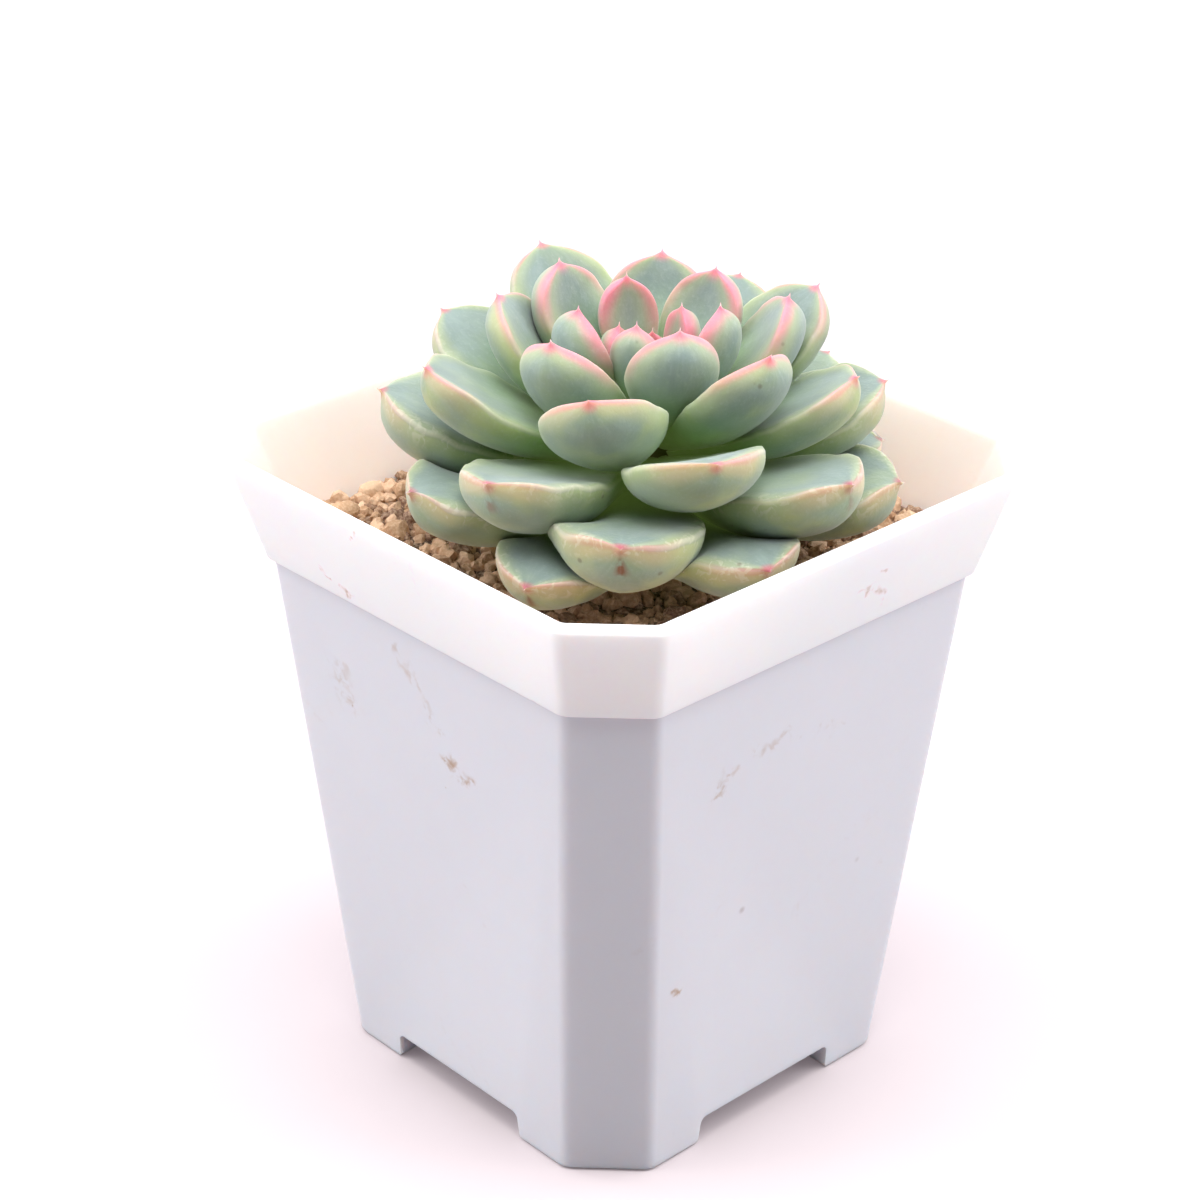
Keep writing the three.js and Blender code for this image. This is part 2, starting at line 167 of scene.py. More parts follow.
lamp_data = bpy.data.lights.new("overhead_panel", "AREA")
lamp_data.shape = "DISK"
lamp_data.size = PANEL_WIDTH
lamp_data.energy = PANEL_POWER
lamp_data.color = PANEL_COLOR
lamp = bpy.data.objects.new("overhead_panel", lamp_data)
lamp.location = turned * PANEL_FORWARD + Vector((0, 0, PANEL_HEIGHT))
lamp.rotation_mode = "QUATERNION"
lamp.rotation_quaternion = (lamp.location - PANEL_AIM).to_track_quat("Z", "Y")
bpy.context.scene.collection.objects.link(lamp)


# ---------------------------------------------------------------------------------------------
# Pot: one thin-walled moulding in white plastic, a square cup whose corners are cut off, with a
# flared band round the rim, a raised cross under the floor and five drain holes.
# ---------------------------------------------------------------------------------------------
pot_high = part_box("pot")[1]
POT_HEIGHT = pot_high[2] / MM
RIM_HALF = pot_high[0] / MM
WALL = 1.5
GROUND_HALF = 25.4
BODY_TOP_HALF = 31.1
BAND_HEIGHT = 12.3
BAND_STEP = 0.6
BODY_CUT = 7.0
RIM_CUT = 7.8
EDGE_ROUND = 2.2
INNER_EDGE_ROUND = 1.3
INNER_CUT_LOSS = 0.6 * WALL  # how much narrower the cut corners are on the inside
CHANNEL_HALF = 10.7
CHANNEL_HEIGHT = 3.8
CHANNEL_REACH = 60.0  # longer than the pot is wide, so that the cross is open at its ends
DRAIN_RADIUS = 3.0
DRAIN_SPACING = 15.0
DRAIN_SIDES = 32
DRAIN_CUT = (1.0, 12.0)  # from below the raised cross to well above it
LINING_STARTS = 5.0  # above this a face that leans inward belongs to the inside
BAND_FOOT = POT_HEIGHT - BAND_HEIGHT


def cut_square(half, cut, edge_round, height):
    """A square outline with cut, softly rounded corners, as points going round, in millimetres."""
    outline = []
    steps = 6
    tangent = edge_round * math.tan(math.pi / 8)
    for quarter in range(4):
        turn = Matrix.Rotation(quarter * math.pi / 2, 2)
        bends = ((Vector((half, half - cut)), 0.0), (Vector((half - cut, half)), math.pi / 4))
        for corner, start in bends:
            inward = Vector((math.cos(start), math.sin(start)))
            before = Vector((math.sin(start), -math.cos(start)))
            centre = corner + before * tangent - inward * edge_round
            for step in range(steps + 1):
                angle = start + step / steps * math.pi / 4
                spot = turn @ (centre + Vector((math.cos(angle), math.sin(angle))) * edge_round)
                outline.append((spot.x, spot.y, height))
    return outline


def filleted(corners, steps=5):
    """A profile of (half-width, height, radius) corners with each corner rounded by its radius."""
    profile = [corners[0][:2]]
    for before, corner, after in zip(corners, corners[1:], corners[2:]):
        here = Vector(corner[:2])
        if corner[2] == 0:
            profile.append(tuple(here))
            continue
        back = (Vector(before[:2]) - here).normalized()
        ahead = (Vector(after[:2]) - here).normalized()
        half_angle = back.angle(ahead) / 2
        centre = here + (back + ahead).normalized() * corner[2] / math.sin(half_angle)
        start = here + back * corner[2] / math.tan(half_angle) - centre
        end = here + ahead * corner[2] / math.tan(half_angle) - centre
        for step in range(steps + 1):
            arm = start.lerp(end, step / steps).normalized() * corner[2]
            profile.append(tuple(centre + arm))
    profile.append(corners[-1][:2])
    return profile


def skin_over(name, rings):
    """A closed mesh over rings of points with as many points each, in millimetres."""
    shell = bmesh.new()
    rows = [[shell.verts.new(Vector(p) * MM) for p in ring] for ring in rings]
    count = len(rows[0])
    for low, high in zip(rows, rows[1:]):
        for i in range(count):
            j = (i + 1) % count
            shell.faces.new((low[i], low[j], high[j], high[i]))
    for ring, flip in ((rows[0], True), (rows[-1], False)):
        middle = shell.verts.new(sum((v.co for v in ring), Vector()) / count)
        for i in range(count):
            pair = (ring[(i + 1) % count], ring[i]) if flip else (ring[i], ring[(i + 1) % count])
            shell.faces.new((*pair, middle))
    mesh = bpy.data.meshes.new(name)
    shell.to_mesh(mesh)
    shell.free()
    return mesh


def add_piece(name, mesh):
    thing = bpy.data.objects.new(name, mesh)
    bpy.context.scene.collection.objects.link(thing)
    return thing


def cut_at(height):
    """How much of each corner is cut off at a height."""
    share = max(0.0, (height - BAND_FOOT) / BAND_HEIGHT)
    return BODY_CUT + (RIM_CUT - BODY_CUT) * share


outer_profile = filleted([
    (GROUND_HALF - 3, 0, 0),
    (GROUND_HALF, 0, 0.7),
    (BODY_TOP_HALF, BAND_FOOT, 0.25),
    (BODY_TOP_HALF + BAND_STEP, BAND_FOOT, 0.3),
    (RIM_HALF, POT_HEIGHT, 0.6),
    (RIM_HALF - 2, POT_HEIGHT, 0),
])
inner_profile = filleted([
    (GROUND_HALF - WALL - 3, WALL, 0),
    (GROUND_HALF - WALL + 0.2, WALL, 1.2),
    (BODY_TOP_HALF - WALL, BAND_FOOT, 6),
    (RIM_HALF - WALL, POT_HEIGHT, 0.0),
    (RIM_HALF - WALL + 0.5, POT_HEIGHT + 1, 0),
], steps=6)
pot = add_piece("moulded_pot", skin_over("moulded_pot", [
    cut_square(half, cut_at(height), EDGE_ROUND, height) for half, height in outer_profile
]))
hollow = add_piece("pot_hollow", skin_over("pot_hollow", [
    cut_square(half, cut_at(height) - INNER_CUT_LOSS, INNER_EDGE_ROUND, height)
    for half, height in inner_profile
]))


def channel_bars(grow):
    """Two crossing bars under the floor, with soft corners, for the pot's raised cross."""
    half_profile = filleted([
        (CHANNEL_HALF + 4 + grow, -5, 0),
        (CHANNEL_HALF + 4 + grow, -0.01, 0),
        (CHANNEL_HALF + 0.1 + grow, -0.01, 1.0),
        (CHANNEL_HALF - 0.1 + grow, CHANNEL_HEIGHT + grow, 0.9),
        (0, CHANNEL_HEIGHT + grow, 0),
    ])
    mirrored = [(-x, height) for x, height in reversed(half_profile[:-1])]
    outline = half_profile + mirrored
    bars = []
    for turn in (0, math.pi / 2):
        ends = [[(x, side, height) for side, height in outline] for x in (-CHANNEL_REACH, CHANNEL_REACH)]
        bar = skin_over("bar", ends)
        bar.transform(Matrix.Rotation(turn, 4, "Z"))
        bars.append(add_piece("bar", bar))
    return bars


def make_plain(thing):
    """Turns what a piece's modifiers make of it into its own plain mesh."""
    shaped = thing.evaluated_get(bpy.context.evaluated_depsgraph_get())
    mesh = bpy.data.meshes.new_from_object(shaped)
    thing.modifiers.clear()
    thing.data = mesh


def carve(target, cutters):
    """Each cutter taken out of the target in turn; the cutters are used up."""
    for cutter in cutters:
        carving = target.modifiers.new("carve", "BOOLEAN")
        carving.object = cutter
        carving.operation = "DIFFERENCE"
        carving.solver = "MANIFOLD"
        make_plain(target)
        bpy.data.objects.remove(cutter)


def drain_plugs():
    """Round plugs that the drain holes are cut with, one in the middle and one on each arm."""
    angles = [(step + 0.5) * math.tau / DRAIN_SIDES for step in range(DRAIN_SIDES)]
    plugs = []
    for along_x, along_y in ((0, 0), (1, 0), (-1, 0), (0, 1), (0, -1)):
        x = along_x * DRAIN_SPACING
        y = along_y * DRAIN_SPACING
        rings = [
            [(x + DRAIN_RADIUS * math.cos(a), y + DRAIN_RADIUS * math.sin(a), height) for a in angles]
            for height in DRAIN_CUT
        ]
        plugs.append(add_piece("plug", skin_over("plug", rings)))
    return plugs


def smooth(mesh):
    for polygon in mesh.polygons:
        polygon.use_smooth = True


carve(hollow, channel_bars(WALL))
carve(pot, [hollow] + channel_bars(0) + drain_plugs())
smooth(pot.data)
pot.data.set_sharp_from_angle(angle=math.radians(32))


def faces_inward(polygon):
    leans_in = polygon.normal.xy.dot(polygon.center.xy.normalized()) < -0.2
    return 1.0 if leans_in and polygon.center.z > LINING_STARTS * MM else 0.0


inside = pot.data.attributes.new("inside", "FLOAT", "FACE")
inside.data.foreach_set("value", [faces_inward(polygon) for polygon in pot.data.polygons])


def start_group(name, kind, inputs, outputs):
    """An empty node group with its named inputs and outputs, and the two nodes that carry them."""
    tree = bpy.data.node_groups.new(name, kind)
    for in_out, sockets in (("INPUT", inputs), ("OUTPUT", outputs)):
        for label, carries in sockets.items():
            tree.interface.new_socket(label, in_out=in_out, socket_type="NodeSocket" + carries)
    return tree, tree.nodes.new("NodeGroupInput"), tree.nodes.new("NodeGroupOutput")


def grain_group():
    """Grain: fine speckle and slow mottling that several skins share, both as values round 0 to 1."""
    tree, given, sent = start_group(
        "grain_and_mottle",
        "ShaderNodeTree",
        {"Place": "Vector", "Grain Size": "Float", "Mottle Size": "Float", "Speck Amount": "Float"},
        {"Grain": "Float", "Mottle": "Float", "Specks": "Float"},
    )
    nodes = tree.nodes
    place = given.outputs["Place"]
    for label, detail in (("Grain", 3.0), ("Mottle", 4.0)):
        rate = put(nodes, "ShaderNodeMath", 1, given.outputs[label + " Size"], operation="DIVIDE")
        cloud = put(nodes, "ShaderNodeTexNoise", place, None, rate.outputs[0], detail, Roughness=0.6)
        feed(cloud.outputs["Fac"], sent.inputs[label])
    rate = put(nodes, "ShaderNodeMath", 0.22, given.outputs["Grain Size"], operation="DIVIDE")
    cells = put(nodes, "ShaderNodeTexVoronoi", place, Scale=rate.outputs[0], Randomness=1.0)
    tone = put(nodes, "ShaderNodeSeparateColor", cells.outputs["Color"]).outputs[0]
    chosen = put(nodes, "ShaderNodeMath", tone, given.outputs["Speck Amount"], operation="LESS_THAN")
    near = put(nodes, "ShaderNodeMapRange", cells.outputs["Distance"], 0.06, 0.2, 1.0, 0.0)
    near.interpolation_type = "SMOOTHSTEP"
    both = put(nodes, "ShaderNodeMath", chosen.outputs[0], near.outputs["Result"], operation="MULTIPLY")
    feed(both.outputs[0], sent.inputs["Specks"])
    return tree


grain_tree = grain_group()


class Skin:
    """A material being put together: short ways to place, join and mix its nodes."""

    def __init__(self, name):
        self.material = bpy.data.materials.new(name)
        self.material.use_nodes = True
        self.nodes = self.material.node_tree.nodes
        self.shader = self.nodes["Principled BSDF"]
        self.place = self.nodes.new("ShaderNodeTexCoord").outputs["Object"]

    def math(self, operation, first, second=0.0):
        return put(self.nodes, "ShaderNodeMath", first, second, operation=operation).outputs[0]

    def times(self, first, *others):
        for other in others:
            first = self.math("MULTIPLY", first, other)
        return first

    def ramp(self, value, start, end, low=0.0, high=1.0):
        node = put(self.nodes, "ShaderNodeMapRange", value, start, end, low, high)
        node.interpolation_type = "SMOOTHSTEP"
        return node.outputs["Result"]

    def mix(self, share, first, second):
        node = put(self.nodes, "ShaderNodeMix", share, data_type="RGBA")
        for value, socket in ((first, node.inputs[6]), (second, node.inputs[7])):
            feed(value if isinstance(value, bpy.types.NodeSocket) else (*value, 1), socket)
        return node.outputs[2]

    def noise(self, size, detail=3.0, place=None, distortion=0.0):
        node = put(self.nodes, "ShaderNodeTexNoise", place or self.place, None, 1 / size, detail)
        node.inputs["Distortion"].default_value = distortion
        return node.outputs["Fac"]

    def attribute(self, name):
        return put(self.nodes, "ShaderNodeAttribute", attribute_name=name).outputs["Fac"]

    def grain(self, *sizes):
        """The grain group's outputs, for a grain size, a mottle size and an amount of specks."""
        return put(self.nodes, "ShaderNodeGroup", self.place, *sizes, node_tree=grain_tree).outputs

    def bump(self, height, distance, strength):
        node = put(self.nodes, "ShaderNodeBump", Strength=strength, Distance=distance, Height=height)
        feed(node.outputs["Normal"], self.shader.inputs["Normal"])

    def finish(self, color, roughness, **settings):
        settings = {"Base_Color": color, "Roughness": roughness, **settings}
        for label, value in settings.items():
            feed(value, self.shader.inputs[label.replace("_", " ")])
        return self.material


PLASTIC_BODY = (0.8, 0.78, 0.835)
# painted light: the band is the body's own plastic, made lighter and pinker for the light falling on it
# and shining through it
PLASTIC_BAND_PAINTED_LIGHT = (0.98, 0.93, 0.96)
# painted light: the inner walls are the same plastic, warmed and lightened for light coming through the
# wall and off the soil
PLASTIC_INSIDE_PAINTED_LIGHT = (0.92, 0.835, 0.8)
PLASTIC_CLOUD = (0.76, 0.74, 0.78)
WALL_GLOW = (0.085, 0.075, 0.08)
MUD = (0.46, 0.29, 0.18)
MUD_FILM = (0.62, 0.5, 0.45)
MUD_SPECK = (0.2, 0.13, 0.1)
MARKS = [  # where wet soil was wiped along the plastic: from, to, half-width in mm, strength
    ((-14.2, -32.6, 68.6), (-9.4, -32.1, 66.0), 1.0, 0.9),
    ((-5.4, -34.2, 75.0), (-4.9, -34.4, 76.4), 0.9, 0.8),
    ((-12.9, -32.7, 69.3), (-12.8, -32.7, 69.2), 0.3, 1.0),
    ((-14.0, -30.2, 54.4), (-12.4, -29.8, 50.2), 3.0, 0.35),
    ((-12.0, -29.9, 50.0), (-11.9, -29.9, 49.8), 0.4, 1.0),
    ((-3.4, -30.9, 61.6), (2.8, -30.1, 53.2), 1.2, 0.4),
    ((4.8, -29.7, 49.4), (7.2, -29.6, 48.7), 1.7, 0.9),
    ((4.2, -29.6, 47.0), (4.2, -29.5, 46.8), 0.35, 1.0),
    ((0.0, -28.3, 32.0), (0.1, -28.2, 31.8), 0.35, 1.0),
    ((25.0, -25.2, 39.0), (25.1, -25.2, 38.9), 0.3, 1.0),
    ((30.1, -14.0, 50.6), (30.2, -11.6, 52.8), 1.7, 0.75),
    ((30.2, -11.6, 52.8), (30.3, -4.0, 54.0), 1.4, 0.35),
    ((30.3, -4.0, 54.0), (30.1, 7.0, 50.6), 1.2, 0.25),
    ((28.0, -3.1, 26.4), (28.0, -2.9, 26.3), 0.35, 0.9),
    ((28.2, -17.7, 26.0), (28.0, -17.0, 25.4), 0.9, 0.9),
    ((32.9, 4.6, 70.4), (32.5, 8.6, 67.8), 1.2, 0.6),
    ((33.4, 6.2, 72.2), (33.1, 9.0, 70.2), 0.6, 0.5),
    ((-30.4, 12.0, 57.0), (-30.0, 4.0, 51.0), 1.4, 0.5),
    ((-28.2, -8.0, 31.0), (-28.0, -4.0, 28.6), 1.0, 0.7),
    ((9.0, 29.9, 49.0), (2.0, 29.6, 44.6), 1.3, 0.5),
    ((-11.0, 33.2, 72.6), (-6.0, 32.9, 69.8), 1.0, 0.7),
]
MARK_WANDER = 5.0
MARK_SHIFT = Vector((MARK_WANDER, MARK_WANDER, MARK_WANDER)) / 2  # the wander's own mean


def wiped_mark_group():
    """Mark: how near a place is to a stroke from one point to another, 1 on it and 0 outside it."""
    tree, given, sent = start_group(
        "wiped_mark",
        "ShaderNodeTree",
        {"Place": "Vector", "From": "Vector", "To": "Vector", "Half Width": "Float", "Strength": "Float"},
        {"Mask": "Float"},
    )
    place, start, end, half_width, strength = list(given.outputs)[:5]

    def step(operation, *feeds):
        return put(tree.nodes, "ShaderNodeVectorMath", *feeds, operation=operation).outputs

    stroke = step("SUBTRACT", end, start)[0]
    offset = step("SUBTRACT", place, start)[0]
    covered = step("DOT_PRODUCT", offset, stroke)["Value"]
    whole = step("DOT_PRODUCT", stroke, stroke)["Value"]
    share = put(tree.nodes, "ShaderNodeMath", covered, whole, operation="DIVIDE", use_clamp=True)
    nearest = step("SCALE", stroke, None, None, share.outputs[0])[0]
    gap = step("DISTANCE", offset, nearest)["Value"]
    fade = put(tree.nodes, "ShaderNodeMapRange", gap, None, half_width, strength, 0)
    fade.interpolation_type = "SMOOTHSTEP"
    feed(fade.outputs["Result"], sent.inputs["Mask"])
    return tree


wiped_mark_tree = wiped_mark_group()


def pot_plastic():
    skin = Skin("white_pot_plastic")
    height = put(skin.nodes, "ShaderNodeSeparateXYZ", skin.place).outputs["Z"]
    on_band = skin.ramp(height, (BAND_FOOT - 0.2) * MM, (BAND_FOOT + 0.1) * MM)
    # painted light: above the band's foot the same plastic takes a lighter, pinker tone for the light on
    # and through the band
    color = skin.mix(on_band, PLASTIC_BODY, PLASTIC_BAND_PAINTED_LIGHT)
    # painted light: faces of the lining take a warmer, lighter tone for the light that reaches them
    # through the wall and off the soil
    inside = skin.attribute("inside")
    color = skin.mix(inside, color, PLASTIC_INSIDE_PAINTED_LIGHT)
    grain = skin.grain(0.9 * MM, 14 * MM, 0.035)
    cloudy = skin.ramp(grain["Mottle"], 0.35, 0.7)
    color = skin.mix(skin.times(cloudy, 0.22), color, PLASTIC_CLOUD)
    # the strokes of wiped soil wander a little off their straight lines
    wander = put(skin.nodes, "ShaderNodeTexNoise", skin.place, Scale=1 / (3.5 * MM), Detail=2.0)
    wandering = put(
        skin.nodes,
        "ShaderNodeVectorMath",
        wander.outputs["Color"],
        MARK_SHIFT * 2 * MM,
        skin.place,
        operation="MULTIPLY_ADD",
    )
    mud = None
    for start, end, half_width, strength in MARKS:
        ends = [(Vector(point) + MARK_SHIFT) * MM for point in (start, end)]
        stroke = (wandering.outputs[0], *ends, half_width * MM, strength)
        mark = put(skin.nodes, "ShaderNodeGroup", *stroke, node_tree=wiped_mark_tree)
        mud = mark.outputs["Mask"] if mud is None else skin.math("MAXIMUM", mud, mark.outputs["Mask"])
    torn = skin.noise(1.3 * MM, 9.0, distortion=0.4)
    torn_edge = skin.ramp(skin.math("ADD", torn, skin.times(mud, 0.1)), 0.47, 0.7)
    mud = skin.times(mud, torn_edge)
    color = skin.mix(mud, color, MUD)
    film = skin.ramp(skin.noise(9 * MM, 8.0, distortion=1.2), 0.62, 0.74)
    color = skin.mix(skin.times(torn_edge, 0.16, film), color, MUD_FILM)
    specks = skin.times(grain["Specks"], skin.ramp(inside, 0.0, 1.0, 0.65, 0.0))
    color = skin.mix(specks, color, MUD_SPECK)
    # above the soil the wall is thin and empty behind, so some of the light inside comes through it
    through = skin.times(on_band, skin.ramp(inside, 1.0, 0.0))
    glow = skin.mix(through, (0, 0, 0), WALL_GLOW)
    rough = skin.math("ADD", skin.times(cloudy, 0.12), skin.times(mud, 0.4))
    rough = skin.math("ADD", rough, 0.34)
    skin.bump(skin.math("ADD", grain["Mottle"], skin.times(mud, 0.3)), 0.12 * MM, 0.35)
    return skin.finish(
        color,
        rough,
        Specular_IOR_Level=0.45,
        Emission_Color=glow,
        Emission_Strength=1.0,
        Subsurface_Weight=0.7,
        Subsurface_Radius=(1.0, 0.75, 0.65),
        Subsurface_Scale=2.5 * MM,
    )


pot.data.materials.clear()
pot.data.materials.append(pot_plastic())
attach(pot, "root")
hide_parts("pot")


# ---------------------------------------------------------------------------------------------
# Soil: a dry gritty mix of bark fines and baked-clay granules that fills the pot to a finger's
# width below the rim. The body is one mass; the granules at its surface are separate grains.
# ---------------------------------------------------------------------------------------------
SOIL_DROP = 10.6
SOIL_LEVEL = POT_HEIGHT - SOIL_DROP
SOIL_GAP = 0.35
GRAIN_SPACING = 1.15
SMALLEST_GRAIN = 0.6
LARGEST_GRAIN = 1.6
MOST_GRAINS = 1.6e6  # tried places for a square metre, before the spacing thins them out
SOIL_RINGS = 40
BARK_BROWN = (0.24, 0.14, 0.095)
CLAY_TAN = (0.52, 0.32, 0.19)
CLAY_PALE = (0.72, 0.49, 0.33)
CRUMB_DARK = (0.06, 0.034, 0.022)
CRUMB_BROWN = (0.2, 0.115, 0.07)
SOIL_DUST = (0.84, 0.63, 0.46)
SOIL_SPECK = (0.06, 0.035, 0.025)


def soil_height(x, y):
    """The soil's top, which swells, lumps and crumbles about its level."""
    swell = 0.5 * math.sin(0.16 * x + 1.1) * math.cos(0.13 * y - 0.4)
    lumps = 0.5 * noise.noise(Vector((x / 5, y / 5, 3.0)))
    crumbs = 0.45 * noise.noise(Vector((x / 1.6, y / 1.6, 9.0)))
    return SOIL_LEVEL - 0.35 + swell + lumps + crumbs


def wall_half(height):
    """Half the width between the pot's inner faces at a height."""
    if height < BAND_FOOT:
        return GROUND_HALF + (BODY_TOP_HALF - GROUND_HALF) * height / BAND_FOOT - WALL
    return BODY_TOP_HALF + (RIM_HALF - BODY_TOP_HALF) * (height - BAND_FOOT) / BAND_HEIGHT - WALL


soil_rings = []
for height in (WALL + CHANNEL_HEIGHT + SOIL_GAP, 20, 40, BAND_FOOT, SOIL_LEVEL - 1.2):
    half = wall_half(height) - SOIL_GAP
    soil_rings.append(cut_square(half, cut_at(height) - INNER_CUT_LOSS, EDGE_ROUND, height))
rim_ring = soil_rings[-1]
for step in range(1, SOIL_RINGS):
    share = 1 - step / SOIL_RINGS
    soil_rings.append([(x * share, y * share, soil_height(x * share, y * share)) for x, y, _ in rim_ring])
soil = add_piece("soil_body", skin_over("soil_body", soil_rings))
smooth(soil.data)


def grain_shapes():
    """Four uneven pebbles of a few dozen faces, about one unit across, to scatter over the soil."""
    shapes = []
    for number in range(4):
        lump = bmesh.new()
        bmesh.ops.create_icosphere(lump, subdivisions=2, radius=1)
        for vertex in lump.verts:
            push = noise.noise(vertex.co * 1.3 + Vector((number * 7.1, 0, 0)))
            chip = noise.noise(vertex.co * 3.1 + Vector((0, number * 5.3, 0)))
            vertex.co *= 1 + 0.45 * push + 0.22 * chip
            vertex.co.z *= 0.8
        mesh = bpy.data.meshes.new(f"grain_{number}")
        lump.to_mesh(mesh)
        lump.free()
        shapes.append(add_piece(f"grain_{number}", mesh))
    return shapes


def scatter_tree(shapes, skin):
    """Grains over a surface's upward faces, each turned, sized and toned at random from one seed."""
    tree, given, sent = start_group(
        "scatter_grains",
        "GeometryNodeTree",
        {"Surface": "Geometry", "Spacing": "Float", "Smallest": "Float", "Largest": "Float"},
        {"Grains": "Geometry"},
    )
    nodes = tree.nodes
    facing = put(nodes, "ShaderNodeSeparateXYZ", nodes.new("GeometryNodeInputNormal").outputs[0])
    upward = put(nodes, "FunctionNodeCompare", data_type="FLOAT", operation="GREATER_THAN")
    feed(facing.outputs["Z"], upward.inputs[0])
    feed(0.3, upward.inputs[1])
    scatter = put(
        nodes,
        "GeometryNodeDistributePointsOnFaces",
        distribute_method="POISSON",
        Mesh=given.outputs["Surface"],
        Selection=upward.outputs[0],
        Distance_Min=given.outputs["Spacing"],
        Density_Max=MOST_GRAINS,
        Seed=11,
    )
    bag = nodes.new("GeometryNodeJoinGeometry")
    for shape in reversed(shapes):
        info = put(nodes, "GeometryNodeObjectInfo", Object=shape, As_Instance=True)
        feed(info.outputs["Geometry"], bag.inputs[0])
    pick = put(nodes, "FunctionNodeRandomValue", data_type="INT", Seed=3)
    pick.inputs[5].default_value = len(shapes) - 1
    spin = put(nodes, "FunctionNodeRandomValue", data_type="FLOAT_VECTOR", Seed=5)
    spin.inputs[1].default_value = (math.tau, math.tau, math.tau)
    share = put(nodes, "FunctionNodeRandomValue", data_type="FLOAT", Seed=8)
    skew = put(nodes, "ShaderNodeMath", share.outputs[1], 1.8, operation="POWER")
    size = put(nodes, "ShaderNodeMapRange", skew.outputs[0])
    feed(given.outputs["Smallest"], size.inputs["To Min"])
    feed(given.outputs["Largest"], size.inputs["To Max"])
    place = put(
        nodes,
        "GeometryNodeInstanceOnPoints",
        Points=scatter.outputs["Points"],
        Instance=bag.outputs[0],
        Pick_Instance=True,
        Instance_Index=pick.outputs[2],
        Rotation=spin.outputs[0],
        Scale=size.outputs["Result"],
    )
    tone = put(nodes, "FunctionNodeRandomValue", data_type="FLOAT", Seed=21)
    keep = put(
        nodes,
        "GeometryNodeStoreNamedAttribute",
        data_type="FLOAT",
        domain="INSTANCE",
        Name="tone",
        Geometry=place.outputs[0],
        Value=tone.outputs[1],
    )
    real = put(nodes, "GeometryNodeRealizeInstances", keep.outputs[0])
    dress = put(nodes, "GeometryNodeSetMaterial", Geometry=real.outputs[0], Material=skin)
    feed(dress.outputs[0], sent.inputs[0])
    return tree


def earth(name, loose):
    """The soil's skin. Loose grains carry a tone each; the body under them is dark and crumbly."""
    skin = Skin(name)
    grain = skin.grain(0.35 * MM, 5 * MM, 0.12)
    if loose:
        tone = skin.attribute("tone")
        color = skin.mix(skin.ramp(tone, 0.0, 0.5), BARK_BROWN, CLAY_TAN)
        color = skin.mix(skin.ramp(tone, 0.45, 1.0), color, CLAY_PALE)
    else:
        color = skin.mix(skin.ramp(grain["Mottle"], 0.35, 0.65), CRUMB_DARK, CRUMB_BROWN)
    color = skin.mix(skin.ramp(grain["Grain"], 0.4, 0.7, 0.0, 0.45), color, SOIL_DUST)
    color = skin.mix(skin.times(grain["Specks"], 0.6), color, SOIL_SPECK)
    skin.bump(grain["Grain"], 0.25 * MM, 0.7)
    return skin.finish(color, skin.ramp(grain["Grain"], 0.3, 0.7, 0.85, 1.0), Specular_IOR_Level=0.2)


soil.data.materials.append(earth("soil_crumb", False))
grain_skin = earth("baked_clay_grain", True)
shapes = grain_shapes()
carrier = add_piece("soil_grains", soil.data.copy())
scattering = carrier.modifiers.new("scatter", "NODES")
scattering.node_group = scatter_tree(shapes, grain_skin)
sockets = {item.name: item.identifier for item in scattering.node_group.interface.items_tree}
scattering[sockets["Spacing"]] = GRAIN_SPACING * MM
scattering[sockets["Smallest"]] = SMALLEST_GRAIN * MM
scattering[sockets["Largest"]] = LARGEST_GRAIN * MM
make_plain(carrier)
for shape in shapes:
    bpy.data.objects.remove(shape)

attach(soil, "root")
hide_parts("soil")
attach(carrier, "root")

# The larger lumps of baked clay lie loose on the soil near the wall, one piece each.
for number in range(1, 13):
    node = f"grit_{number:02d}"
    low, high = (Vector(corner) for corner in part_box(node))
    middle = (low + high) / 2
    half_size = (high - low) / 2
    lump = bmesh.new()
    bmesh.ops.create_icosphere(lump, subdivisions=4, radius=1)
    for vertex in lump.verts:
        shift = Vector((number * 3.7, number * 1.9, 0))
        facet = noise.voronoi(vertex.co * 1.1 + shift)[0][0]
        rough = noise.noise(vertex.co * 5 + shift)
        vertex.co *= 0.86 + 0.22 * facet + 0.05 * rough
        vertex.co = Vector(a * b for a, b in zip(vertex.co, half_size)) + middle
    mesh = bpy.data.meshes.new(f"clay_lump_{number:02d}")
    lump.to_mesh(mesh)
    lump.free()
    stone = add_piece(f"clay_lump_{number:02d}", mesh)
    tone = mesh.attributes.new("tone", "FLOAT", "POINT")
    tone.data.foreach_set("value", [0.35 + 0.6 * ((number * 0.618) % 1)] * len(mesh.vertices))
    smooth(mesh)
    mesh.materials.append(grain_skin)
    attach(stone, "root")
    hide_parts(node)


# ---------------------------------------------------------------------------------------------
# Stem: the short woody neck that carries every leaf, with its root crown down in the soil. Old
# leaf scars darken its skin; the leaves hide nearly all of it.
# ---------------------------------------------------------------------------------------------
BARK_GREEN = (0.17, 0.2, 0.08)
BARK_TAN = (0.3, 0.23, 0.13)
BARK_SCAR = (0.09, 0.06, 0.04)


def stem_bark():
    skin = Skin("stem_bark")
    grain = skin.grain(0.5 * MM, 4 * MM, 0.1)
    color = skin.mix(skin.ramp(grain["Mottle"], 0.35, 0.65), BARK_GREEN, BARK_TAN)
    color = skin.mix(skin.times(grain["Specks"], 0.6), color, BARK_SCAR)
    skin.bump(grain["Grain"], 0.2 * MM, 0.6)
    return skin.finish(color, skin.ramp(grain["Grain"], 0.3, 0.7, 0.7, 0.9))


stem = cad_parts["stem"]
bark = stem_bark()
for slot in stem.material_slots:
    slot.material = bark


